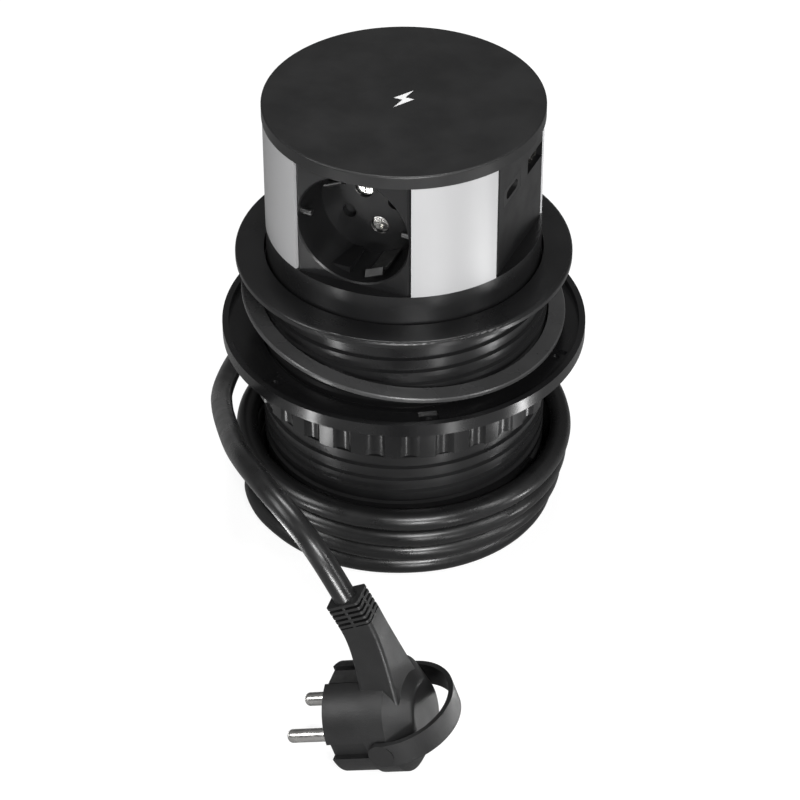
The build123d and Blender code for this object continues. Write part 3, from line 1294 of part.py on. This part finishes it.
# Write every piece.
def gather():
    parts = {
        "threaded_sleeve": make_sleeve(),
        "base_cover": make_cover(),
        "foot_screws": make_foot_screws(),
        "cover_screws": make_cover_screws(),
        "cord_gland": make_gland(),
        "cord_tail": make_tail(),
        "cord_clamp": make_clamp(),
        "clamp_screws": make_clamp_screws(),
        "terminal_block": make_terminal_block(),
        "guide_post": make_post(),
        "stop_washer": make_stop(),
        "damper_rack": make_rack(),
        "lift_spring": make_spring(),
        "riser_cord": make_riser(),
        "latch_body": make_latch(),
        "cord_coil": make_coil(),
        "cord_lead": make_lead(),
        "plug_body": make_plug_body(),
        "plug_bridge": make_plug_bridge(),
        "plug_pins": make_plug_pins(),
        "plug_earth_clips": make_plug_earth(),
        "plug_loop": make_loop(),
        "clamp_nut": make_nut(),
        "gasket": make_gasket(),
        "tower_body": make_tower(),
        "tower_base_plate": make_base_plate(),
        "plate_screws": make_plate_screws(),
        "damper_body": make_damper(),
        "damper_gear": make_gear(),
        "top_cap": make_cap(),
        "charge_mark": make_mark(),
        "charging_coil": make_charging_coil(),
        "ferrite_sheet": make_ferrite(),
        "charging_board": make_board(),
        "port_panel": make_port_panel(),
        "port_frame": make_port_frame(),
        "port_shells": make_port_shells(),
        "port_tongues": make_port_tongues(),
        "port_board": make_port_board(),
        "board_parts": make_transformer(),
        "socket_screws": make_socket_screws(),
        "guide_studs": make_studs(),
    }
    for name, deg in PANEL_DEGS.items():
        parts["trim_panel_" + name] = make_panel(deg)
    for name, deg in SOCKET_FLATS.items():
        parts["socket_insert_" + name] = make_insert(deg)
        parts["socket_carrier_" + name] = make_carrier(deg)
        parts["socket_shutter_" + name] = make_shutter(deg)
        parts["socket_contacts_" + name] = make_contacts(deg)
        parts["earth_strap_" + name] = make_earth(deg)
    return parts


if __name__ == "__main__":
    os.makedirs("parts", exist_ok=True)
    for name, shape in gather().items():
        if isinstance(shape, list):
            shape = Compound(children=shape)
        export_step(shape, "parts/" + name + ".step")
        print(name, round(shape.volume), len(shape.solids()))
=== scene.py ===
"""Pop up desk socket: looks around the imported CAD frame. Metres, Z up, front socket on -Y."""

import math

import bpy
import numpy as np
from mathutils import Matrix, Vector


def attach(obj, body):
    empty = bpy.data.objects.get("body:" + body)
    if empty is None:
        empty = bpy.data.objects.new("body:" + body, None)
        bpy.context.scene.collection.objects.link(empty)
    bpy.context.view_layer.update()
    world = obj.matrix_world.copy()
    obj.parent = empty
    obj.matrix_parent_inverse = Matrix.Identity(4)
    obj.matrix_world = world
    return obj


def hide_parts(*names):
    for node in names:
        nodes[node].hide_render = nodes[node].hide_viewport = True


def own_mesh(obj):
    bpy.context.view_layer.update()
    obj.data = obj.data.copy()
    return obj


MM = 0.001

# Camera, fitted to the photograph.
VIEW_DEG = 23.35
DOWN_DEG = 37.66
CAMERA_AWAY = 0.87168
CAMERA_HEIGHT = 0.712016
LENS_MM = 129.53
SENSOR_MM = 36.0
LENS_SHIFT_X = -0.00475

# Surround light: its level for soft light, and what a polished surface sees of it.
SKY_FILL = 0.2
SKY_GLOSS = 0.0

# Floor.
FLOOR_RUN = 6.0
FLOOR_BEND = 1.2
FLOOR_GLOW = 0.86
FLOOR_GLOSS_SHARE = 0.1
FLAT_ROWS = 20
BEND_ROWS = 60

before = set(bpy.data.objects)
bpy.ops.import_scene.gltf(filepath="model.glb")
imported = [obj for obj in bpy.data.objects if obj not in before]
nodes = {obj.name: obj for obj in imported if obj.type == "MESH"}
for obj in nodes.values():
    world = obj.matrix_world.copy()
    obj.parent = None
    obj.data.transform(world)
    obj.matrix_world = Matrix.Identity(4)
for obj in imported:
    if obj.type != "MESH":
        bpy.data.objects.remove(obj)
bpy.context.view_layer.update()


def make_camera():
    """The photograph's camera: 872 mm from the tower's axis, looking down by 37.66 degrees."""
    data = bpy.data.cameras.new("photo_camera")
    data.sensor_width = SENSOR_MM
    data.lens = LENS_MM
    data.shift_x = LENS_SHIFT_X
    data.clip_start, data.clip_end = 0.05, 20.0
    data.dof.use_dof = False
    camera = bpy.data.objects.new("photo_camera", data)
    turn = math.radians(VIEW_DEG)
    camera.location = (CAMERA_AWAY * math.sin(turn), -CAMERA_AWAY * math.cos(turn), CAMERA_HEIGHT)
    camera.rotation_euler = (math.radians(90.0 - DOWN_DEG), 0.0, turn)
    bpy.context.scene.collection.objects.link(camera)
    bpy.context.scene.camera = camera


make_camera()


# Mains cord: one spline from the gland, round the base and up to the plug.
CORD_R = 0.00402
GLAND_EXIT = (-0.0485, -0.0003, 0.0054)
FIRST_BEND = [
    (-0.0514, -0.0070, 0.0054),
    (-0.0529, -0.0158, 0.0053),
    (-0.0519, -0.0248, 0.0051),
    (-0.0487, -0.0333, 0.0048),
    (-0.0414, -0.0414, 0.0046),
]
LEAD_ROUTE = [
    (-0.0405, 0.0479, 0.0359),
    (-0.0585, 0.0393, 0.0357),
    (-0.0690, 0.0222, 0.0370),
    (-0.0704, -0.0002, 0.0400),
    (-0.0603, -0.0348, 0.0499),
    (-0.0485, -0.0567, 0.0602),
    (-0.0372, -0.0757, 0.0712),
    (-0.0185, -0.1054, 0.0879),
    (-0.0052, -0.1229, 0.0971),
    (0.0085, -0.1342, 0.0987),
    (0.0225, -0.1417, 0.0945),
    (0.0342, -0.1458, 0.0852),
    (0.0422, -0.1466, 0.0725),
]

# Each turn's radius and height in millimetres, in front and at the back.
COIL_FRONT = [(54.2, 4.3), (56.9, 12.5), (58.7, 20.9), (60.1, 29.8)]
COIL_BACK = [(55.0, 9.1), (57.2, 17.9), (59.2, 26.6), (60.0, 35.6)]
FIRST_LATE_DEG = 30.0
FIRST_RADIUS = 57.4
TURN_START_RISE = 1.0
COIL_STEP_DEG = 15.0
COIL_LAST_GAP_DEG = 6.0
SPLINE_CUT_IN = 0.9915


def coil_points():
    """Four turns round the base, 24 points each. Radius and height run evenly between the turn's four
    quarters: level in front, climbing behind. The radius is widened a little because the spline cuts in."""
    angles, radii, heights = [], [], []
    for turn, ((r, z), (r_back, z_back)) in enumerate(zip(COIL_FRONT, COIL_BACK)):
        base = 360.0 * turn + 180.0 + VIEW_DEG
        first = FIRST_LATE_DEG if turn == 0 else 0.0
        rise = 0.0 if turn == 0 else TURN_START_RISE
        angles += [base + first, base + 90.0, base + 180.0, base + 270.0]
        radii += [FIRST_RADIUS if turn == 0 else r, r, r, r_back]
        heights += [z + rise, z, z, z_back]
    a = np.append(np.arange(angles[0], angles[-1] - COIL_LAST_GAP_DEG, COIL_STEP_DEG), angles[-1])
    r = np.interp(a, angles, radii) / SPLINE_CUT_IN
    z = np.interp(a, angles, heights)
    t = np.radians(a)
    return np.stack([r * np.cos(t), r * np.sin(t), z], 1) * MM


def spline_curve(name, points, radius):
    """An open quadratic NURBS through control points, bevelled to a round tube."""
    data = bpy.data.curves.new(name, "CURVE")
    data.dimensions = "3D"
    data.resolution_u = 8
    data.bevel_depth = 1.0
    data.bevel_resolution = 7
    data.use_fill_caps = True
    spline = data.splines.new("NURBS")
    spline.points.add(len(points) - 1)
    flat = np.ones((len(points), 4))
    flat[:, :3] = points
    spline.points.foreach_set("co", flat.ravel())
    spline.points.foreach_set("radius", np.full(len(points), radius))
    spline.order_u = 3
    spline.use_endpoint_u = True
    spline.use_smooth = True
    obj = bpy.data.objects.new(name, data)
    bpy.context.scene.collection.objects.link(obj)
    return obj


route = np.vstack([[GLAND_EXIT], FIRST_BEND, coil_points(), LEAD_ROUTE])
mains_cord = spline_curve("mains_cord", route, CORD_R)
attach(mains_cord, "housing")
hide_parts("cord_coil", "cord_lead")


def shortening_copy(node):
    """A copy of the node's own shape as a separate piece on the housing, with the node itself hidden."""
    source = nodes[node]
    mesh = source.data.copy()
    mesh.transform(source.matrix_world)
    obj = bpy.data.objects.new(node + "_moving", mesh)
    bpy.context.scene.collection.objects.link(obj)
    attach(obj, "housing")
    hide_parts(node)
    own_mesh(obj)


shortening_copy("lift_spring")
shortening_copy("riser_cord")


# Materials.
NOISE_SPAN = (0.35, 0.65)


class Finish:
    """A Principled material on object coordinates, with helpers that add one detail each."""

    def __init__(self, name, colour, rough, metal=0.0, spec=0.5):
        self.mat = bpy.data.materials.new(name)
        self.mat.use_nodes = True
        self.tree = self.mat.node_tree
        self.shader = self.tree.nodes["Principled BSDF"]
        self.shader.inputs["Metallic"].default_value = metal
        self.shader.inputs["Roughness"].default_value = rough
        self.shader.inputs["Specular IOR Level"].default_value = spec
        self.shader.inputs["Base Color"].default_value = (*colour, 1.0)
        self.colour = colour
        self.height = None
        self.space = self.add("ShaderNodeTexCoord").outputs["Object"]

    def add(self, kind, **values):
        node = self.tree.nodes.new(kind)
        for key, value in values.items():
            setattr(node, key, value)
        return node

    def link(self, a, b):
        self.tree.links.new(a, b)

    def noise(self, scale, detail, rough=0.5):
        tex = self.add("ShaderNodeTexNoise")
        tex.inputs["Scale"].default_value = scale
        tex.inputs["Detail"].default_value = detail
        tex.inputs["Roughness"].default_value = rough
        self.link(self.space, tex.inputs["Vector"])
        return tex.outputs["Fac"]

    def spread(self, fac, low, high):
        """The noise's usual span, stretched to run from low to high."""
        node = self.add("ShaderNodeMapRange")
        node.inputs["From Min"].default_value, node.inputs["From Max"].default_value = NOISE_SPAN
        node.inputs["To Min"].default_value = low
        node.inputs["To Max"].default_value = high
        self.link(fac, node.inputs["Value"])
        return node.outputs["Result"]

    def mottle(self, scale, dark, light):
        """The colour wanders between dark and light times the base colour."""
        ramp = self.add("ShaderNodeMix", data_type="RGBA")
        ramp.inputs["A"].default_value = (*[c * dark for c in self.colour], 1.0)
        ramp.inputs["B"].default_value = (*[c * light for c in self.colour], 1.0)
        self.link(self.spread(self.noise(scale, 4.0, 0.6), 0.0, 1.0), ramp.inputs["Factor"])
        self.link(ramp.outputs["Result"], self.shader.inputs["Base Color"])
        return self

    def polish(self, scale, low, high):
        """The roughness wanders between low and high."""
        self.link(self.spread(self.noise(scale, 3.0), low, high), self.shader.inputs["Roughness"])
        return self

    def grain(self, scale, depth):
        """Fine relief, depth in metres, laid over the relief before it."""
        bump = self.add("ShaderNodeBump")
        bump.inputs["Distance"].default_value = depth
        bump.inputs["Strength"].default_value = 1.0
        self.link(self.noise(scale, 2.0), bump.inputs["Height"])
        if self.height:
            self.link(self.height, bump.inputs["Normal"])
        self.height = bump.outputs["Normal"]
        self.link(self.height, self.shader.inputs["Normal"])
        return self


def put_on(finish, *names):
    for name in names:
        obj = bpy.data.objects[name]
        obj.data.materials.clear()
        obj.data.materials.append(finish.mat)


def named(*starts):
    return [n for n in nodes if n.startswith(starts)]


DEEP_BLACK = (0.007, 0.007, 0.0073)
satin_cap = Finish("satin cap plastic", (0.009, 0.009, 0.0092), 0.42)
satin_cap.mottle(30, 0.9, 1.1).polish(60, 0.38, 0.48).grain(2600, 0.00002)
insert_black = Finish("moulded insert plastic", DEEP_BLACK, 0.34, spec=0.27)
insert_black.mottle(40, 0.9, 1.12).polish(80, 0.3, 0.4).grain(2200, 0.00002)
gloss_black = Finish("gloss black thread plastic", DEEP_BLACK, 0.22)
gloss_black.mottle(35, 0.88, 1.12).polish(50, 0.26, 0.36).grain(140, 0.00005)
nut_black = Finish("nut plastic", DEEP_BLACK, 0.26)
nut_black.mottle(35, 0.88, 1.12).polish(60, 0.2, 0.28).grain(120, 0.00004)
base_black = Finish("base plastic", DEEP_BLACK, 0.5)
base_black.mottle(40, 0.85, 1.15).grain(1800, 0.00003)
gasket_grey = Finish("gasket rubber", (0.05, 0.05, 0.0505), 0.3)
gasket_grey.mottle(45, 0.88, 1.1).polish(90, 0.24, 0.34).grain(900, 0.00002)
cord_black = Finish("cord sheath", (0.008, 0.008, 0.0082), 0.3)
cord_black.mottle(60, 0.88, 1.12).polish(120, 0.26, 0.36).grain(70, 0.0001)
plug_black = Finish("plug rubber", (0.008, 0.008, 0.0082), 0.42)
plug_black.mottle(60, 0.9, 1.1).polish(90, 0.36, 0.48).grain(2600, 0.00006)
panel_silver = Finish("silver panel", (0.43, 0.43, 0.435), 0.42, metal=0.35)
panel_silver.grain(3000, 0.00003)
nickel = Finish("nickel", (0.72, 0.71, 0.69), 0.2, metal=1.0)
nickel.mottle(300, 0.9, 1.05).polish(300, 0.14, 0.3).grain(500, 0.00002)
dull_nickel = Finish("dull nickel", (0.16, 0.16, 0.16), 0.4, metal=1.0).mottle(300, 0.8, 1.1)
zinc = Finish("zinc steel", (0.55, 0.55, 0.56), 0.34, metal=1.0).mottle(200, 0.85, 1.08).polish(240, 0.28, 0.42)
copper = Finish("enamelled copper", (0.6, 0.28, 0.14), 0.3, metal=1.0).mottle(300, 0.85, 1.1)
grey_plastic = Finish("grey plastic", (0.3, 0.3, 0.31), 0.5).mottle(60, 0.9, 1.08).grain(1800, 0.00002)
board_green = Finish("circuit board", (0.03, 0.16, 0.07), 0.35).mottle(300, 0.7, 1.2)
mark_white = Finish("mark inlay", (0.75, 0.75, 0.75), 0.5).mottle(300, 0.95, 1.02)

put_on(satin_cap, "top_cap", "port_frame")
put_on(insert_black, *named("socket_insert"), "port_panel")
put_on(gloss_black, "threaded_sleeve", "tower_body")
put_on(nut_black, "clamp_nut")
put_on(base_black, "base_cover", "cord_gland", "cord_clamp", "tower_base_plate", "damper_body", "port_tongues",
       *named("socket_shutter"))
put_on(gasket_grey, "gasket")
put_on(cord_black, "mains_cord", "cord_tail", "riser_cord_moving")
put_on(plug_black, "plug_body", "plug_loop", "plug_bridge")
put_on(panel_silver, *named("trim_panel"))
put_on(nickel, "plug_pins", "socket_screws", "port_shells", *named("socket_contacts"))
put_on(dull_nickel, "plug_earth_clips", "guide_studs", *named("earth_strap"))
put_on(zinc, "cover_screws", "foot_screws", "clamp_screws", "plate_screws", "stop_washer", "lift_spring_moving")
put_on(copper, "charging_coil")
put_on(grey_plastic, "guide_post", "latch_body", "damper_rack", "damper_gear", "terminal_block", "ferrite_sheet",
       "board_parts", *named("socket_carrier"))
put_on(board_green, "charging_board", "port_board")
put_on(mark_white, "charge_mark")


# Floor and light.
def seen_from_photo(x, y, z):
    """A point given in the photograph's own frame (x right, y away), turned into the row frame."""
    t = math.radians(VIEW_DEG)
    return (x * math.cos(t) - y * math.sin(t), x * math.sin(t) + y * math.cos(t), z)


def floor_paint():
    """Pale and matt, plain white to the camera and dim to a polished surface."""
    paint = Finish("pale floor", (0.2, 0.2, 0.2), 0.9, spec=0.1)
    path = paint.add("ShaderNodeLightPath")
    gloss = paint.add("ShaderNodeMath", operation="MULTIPLY")
    gloss.inputs[1].default_value = FLOOR_GLOSS_SHARE
    paint.link(path.outputs["Is Glossy Ray"], gloss.inputs[0])
    seen = paint.add("ShaderNodeMath", operation="MAXIMUM")
    paint.link(path.outputs["Is Camera Ray"], seen.inputs[0])
    paint.link(gloss.outputs["Value"], seen.inputs[1])
    glow = paint.add("ShaderNodeMath", operation="MULTIPLY")
    glow.inputs[1].default_value = FLOOR_GLOW
    paint.link(seen.outputs["Value"], glow.inputs[0])
    paint.shader.inputs["Emission Color"].default_value = (1.0, 1.0, 1.0, 1.0)
    paint.link(glow.outputs["Value"], paint.shader.inputs["Emission Strength"])
    return paint


def make_floor():
    """A wide floor, flat under the object, that turns up behind it in a quarter circle:
    y = run - bend + bend sin(s pi/2), z = bend (1 - cos(s pi/2)) for s from 0 to 1."""
    s = np.linspace(0.0, 1.0, BEND_ROWS)
    start = FLOOR_RUN - FLOOR_BEND
    flat = np.linspace(-FLOOR_RUN, start, FLAT_ROWS)
    y = np.concatenate([flat, start + FLOOR_BEND * np.sin(s * np.pi / 2), [FLOOR_RUN]])
    z = np.concatenate([np.zeros(FLAT_ROWS), FLOOR_BEND * (1 - np.cos(s * np.pi / 2)), [FLOOR_RUN]])
    px, py = np.meshgrid(np.array([-FLOOR_RUN * 1.5, FLOOR_RUN * 1.5]), y)
    rx, ry, pz = seen_from_photo(px, py, np.repeat(z[:, None], 2, 1))
    verts = np.stack([rx, ry, pz], -1).reshape(-1, 3)
    rows = np.arange(len(y) - 1)
    faces = np.stack([rows * 2, rows * 2 + 1, rows * 2 + 3, rows * 2 + 2], 1)
    mesh = bpy.data.meshes.new("floor")
    mesh.from_pydata(verts.tolist(), [], faces.tolist())
    mesh.polygons.foreach_set("use_smooth", np.ones(len(faces), bool))
    floor = bpy.data.objects.new("floor", mesh)
    bpy.context.scene.collection.objects.link(floor)
    floor.data.materials.append(floor_paint().mat)


make_floor()


def area_light(name, place, target, size, power):
    data = bpy.data.lights.new(name, "AREA")
    data.shape = "RECTANGLE"
    data.size, data.size_y = size
    data.energy = power
    lamp = bpy.data.objects.new(name, data)
    lamp.location = place
    aim = Vector(target) - Vector(place)
    lamp.rotation_euler = aim.to_track_quat("-Z", "Y").to_euler()
    bpy.context.scene.collection.objects.link(lamp)
    return lamp


# Name, place in the photograph's frame, height aimed at, width and height, watts.
LAMPS = [
    ("fill_left", (-1.4, -0.6, 1.0), 0.1, (0.3, 1.0), 9),
    ("key_right", (1.35, -0.75, 0.9), 0.1, (0.12, 1.1), 7),
    ("over_head", (0.0, 0.2, 1.9), 0.1, (0.6, 0.2), 17),
    ("front_low", (0.1, -1.3, 0.12), 0.03, (0.4, 0.1), 11),
    ("by_camera", (0.25, -1.2, 0.95), 0.05, (0.4, 0.14), 14),
]
for name, place, aim_height, size, power in LAMPS:
    area_light(name, seen_from_photo(*place), (0, 0, aim_height), size, power)

# Strips on the table: angle round the object in degrees, watts.
STRIPS = [(-48, 0.1), (24, 0.045), (64, 0.13)]
STRIP_AT_R = 0.2
STRIP_HEIGHT = 0.002
STRIP_SIZE = (0.012, 0.16)


def table_strip(angle, power):
    """A narrow bright line on the table, unseen by the camera, that upright glossy walls mirror as a streak."""
    a = math.radians(angle)
    x, y, z = seen_from_photo(STRIP_AT_R * math.sin(a), -STRIP_AT_R * math.cos(a), STRIP_HEIGHT)
    lamp = area_light("table_strip", (x, y, z), (x, y, 1.0), STRIP_SIZE, power)
    lamp.rotation_euler = (math.pi, 0.0, a + math.radians(VIEW_DEG))
    lamp.visible_camera = False


for angle, power in STRIPS:
    table_strip(angle, power)


def make_world():
    """Soft surround light, and plain white where the camera looks past the object."""
    world = bpy.data.worlds.new("studio")
    bpy.context.scene.world = world
    world.use_nodes = True
    tree = world.node_tree
    sky = tree.nodes["Background"]
    sky.inputs["Color"].default_value = (1.0, 1.0, 1.0, 1.0)
    path = tree.nodes.new("ShaderNodeLightPath")
    glossy = tree.nodes.new("ShaderNodeMath")
    glossy.operation = "MULTIPLY"
    glossy.inputs[1].default_value = SKY_GLOSS
    tree.links.new(path.outputs["Is Glossy Ray"], glossy.inputs[0])
    seen = tree.nodes.new("ShaderNodeMath")
    seen.operation = "MAXIMUM"
    tree.links.new(path.outputs["Is Camera Ray"], seen.inputs[0])
    tree.links.new(glossy.outputs["Value"], seen.inputs[1])
    level = tree.nodes.new("ShaderNodeMapRange")
    level.inputs["To Min"].default_value = SKY_FILL
    level.inputs["To Max"].default_value = 1.0
    tree.links.new(seen.outputs["Value"], level.inputs["Value"])
    tree.links.new(level.outputs["Result"], sky.inputs["Strength"])


make_world()

bpy.context.scene.view_settings.view_transform = "Standard"

bpy.context.view_layer.update()
